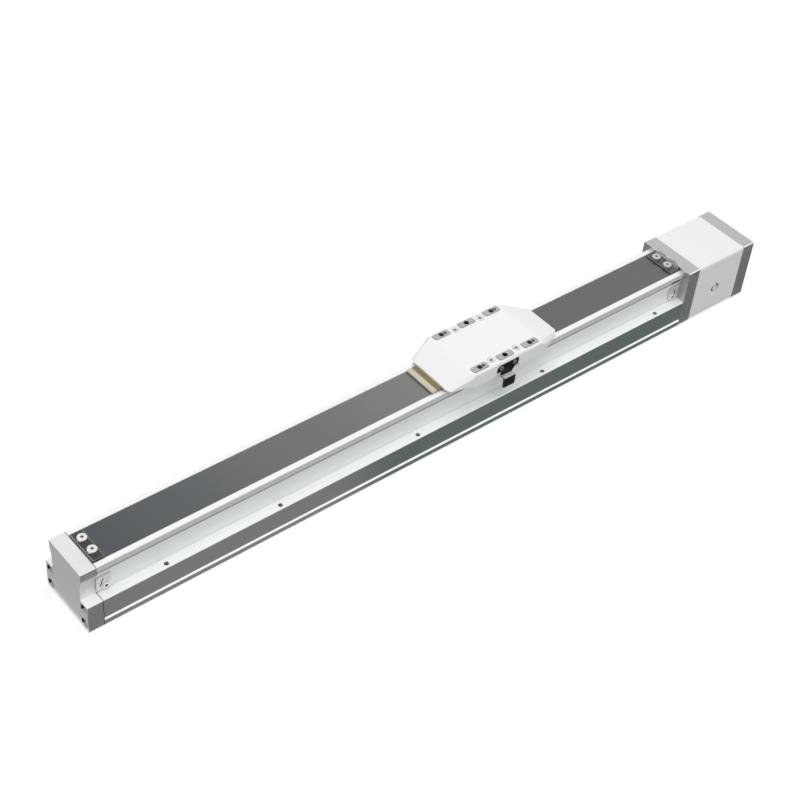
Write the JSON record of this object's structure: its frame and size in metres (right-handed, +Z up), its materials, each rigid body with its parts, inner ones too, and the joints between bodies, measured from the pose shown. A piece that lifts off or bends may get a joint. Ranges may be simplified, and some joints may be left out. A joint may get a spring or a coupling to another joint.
{
  "type": "belt driven linear axis",
  "caption": "Belt driven linear axis: carriage on a guide rail in a T-shaped aluminium profile with a steel cover strip and a drive head.",
  "frame": {"origin": "middle of the overall length, on the bottom face of the profile, midway between its sides", "axes": "+X along the axis from the idler end to the drive head, +Z up through the carriage, +Y towards the motor side"},
  "size_m": [0.7684, 0.0694, 0.0756],
  "materials": {
    "anodised_profile": "satin clear anodised extrusion",
    "machined_aluminium": "fine machined, clear anodised",
    "dark_aluminium": "grey anodised",
    "ground_steel": "ground",
    "black_oxide": "black oxide",
    "zinc_screws": "bright zinc plated",
    "dark_steel": "dark satin",
    "strip_steel": "cold rolled strip, semi bright",
    "belt_rubber": "polyurethane belt, matt black",
    "black_rubber": "matt",
    "white_paint": "satin white powder coat",
    "white_cover": "satin white coat on aluminium",
    "green_plastic": "moulded",
    "grey_plastic": "moulded sliding plastic",
    "brown_felt": "oiled felt",
    "cream_felt": "pressed felt",
    "black_bracket": "black coat"
  },
  "bodies": {
    "frame": {"profile": "anodised_profile", "guide_rail": "ground_steel", "rail_screws": "black_oxide", "end_cap": "machined_aluminium", "end_cap_screws": "zinc_screws", "idler_yoke": "dark_aluminium", "idler_axle": "ground_steel", "axle_clips": "black_oxide", "side_plates": "machined_aluminium", "side_screws": "zinc_screws", "left_anchor": "machined_aluminium", "right_anchor": "machined_aluminium", "left_buffer": "black_rubber", "right_buffer": "black_rubber", "left_clamp": "dark_steel", "right_clamp": "dark_steel", "clamp_screws": "zinc_screws", "strip_left": "strip_steel", "strip_right": "strip_steel", "belt": "belt_rubber", "drive_flange": "machined_aluminium", "flange_screws": "zinc_screws", "drive_housing": "white_paint", "head_plate": "machined_aluminium", "head_screws": "zinc_screws", "drive_bearings": "ground_steel", "access_plug": "zinc_screws"},
    "drive": {"drive_shaft": "ground_steel", "drive_pulley": "machined_aluminium", "pulley_flanges": "zinc_screws", "pulley_key": "black_oxide"},
    "idler": {"idler_pulley": "machined_aluminium", "idler_flanges": "zinc_screws", "idler_bearings": "ground_steel"},
    "carriage": {"carriage_base": "machined_aluminium", "front_runner": "ground_steel", "rear_runner": "ground_steel", "runner_ends": "green_plastic", "runner_screws": "black_oxide", "front_belt_clamp": "dark_steel", "rear_belt_clamp": "dark_steel", "belt_clamp_screws": "zinc_screws", "middle_cover": "white_cover", "front_cover": "white_cover", "rear_cover": "white_cover", "cover_screws": "zinc_screws", "strip_bridge": "strip_steel", "front_glide": "grey_plastic", "rear_glide": "grey_plastic", "front_scraper": "brown_felt", "rear_scraper": "brown_felt", "front_wiper": "cream_felt", "rear_wiper": "cream_felt", "switch_bracket": "black_bracket", "switch_plate": "black_bracket", "switch_screws": "black_oxide"}
  },
  "joints": [
    {"name": "carriage_slide", "type": "slide", "parent": "frame", "child": "carriage", "axis": [1, 0, 0], "range_m": [-0.312, 0.152], "deforming": ["belt", "strip_left", "strip_right"]},
    {"name": "drive_spin", "type": "hinge", "parent": "frame", "child": "drive", "pos_m": [0.33775, 0, 0.0273], "axis": [0, 1, 0], "range_deg": [-1030, 505]},
    {"name": "idler_spin", "type": "hinge", "parent": "frame", "child": "idler", "pos_m": [-0.34225, 0, 0.0273], "axis": [0, 1, 0], "range_deg": [-1030, 505]}
  ],
  "couplings": [
    {"joint": "drive_spin", "follows": "carriage_slide", "rad_per_m": 57.12},
    {"joint": "idler_spin", "follows": "carriage_slide", "rad_per_m": 57.12}
  ]
}
